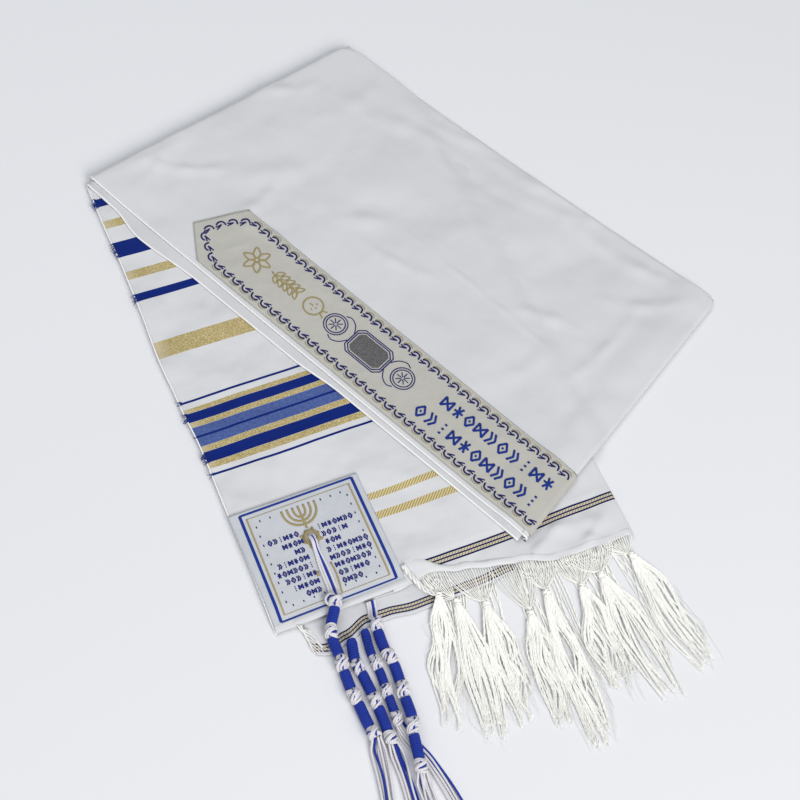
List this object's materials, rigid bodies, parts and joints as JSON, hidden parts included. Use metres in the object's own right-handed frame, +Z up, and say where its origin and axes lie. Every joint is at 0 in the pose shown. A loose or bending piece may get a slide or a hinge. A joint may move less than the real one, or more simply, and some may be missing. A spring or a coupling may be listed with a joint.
{
  "type": "tallit prayer shawl",
  "caption": "Prayer shawl of white cloth, folded in layers and laid flat, with blue and gold striped ends, an embroidered neckband and corner patch, knotted tzitzit and a knotted fringe.",
  "frame": {"origin": "centre of the bounding box, on the surface that the shawl lies on", "axes": "+Z up; +X across the folded strip, from its open selvedges to its lengthwise fold; +Y from the fringe towards the skewed fold"},
  "size_m": [0.447, 0.7612, 0.0162],
  "materials": {
    "cloth": "fine smooth white weave with a soft sheen",
    "striped": "white weave with woven blue and gold stripes",
    "neckband": "white band with blue and gold woven ornament",
    "patch": "pale satin square with a blue woven frame",
    "gold": "dull gold thread",
    "tassel": "twisted white and blue cord with blue windings",
    "fringe": "twisted off-white thread"
  },
  "bodies": {
    "root": {"hidden_layers": "cloth", "body_panel": "cloth", "second_layer_edge": "cloth", "striped_end": "striped", "second_striped_end": "striped", "neckband": "neckband", "corner_patch": "patch", "eyelet_ring": "gold", "tzitzit_1": "tassel", "tzitzit_2": "tassel", "tzitzit_3": "tassel", "tzitzit_4": "tassel", "fringe_tassel_1": "fringe", "fringe_tassel_2": "fringe", "fringe_tassel_3": "fringe", "fringe_tassel_4": "fringe", "fringe_tassel_5": "fringe", "fringe_tassel_6": "fringe", "fringe_tassel_7": "fringe", "fringe_tassel_8": "fringe"}
  },
  "joints": []
}
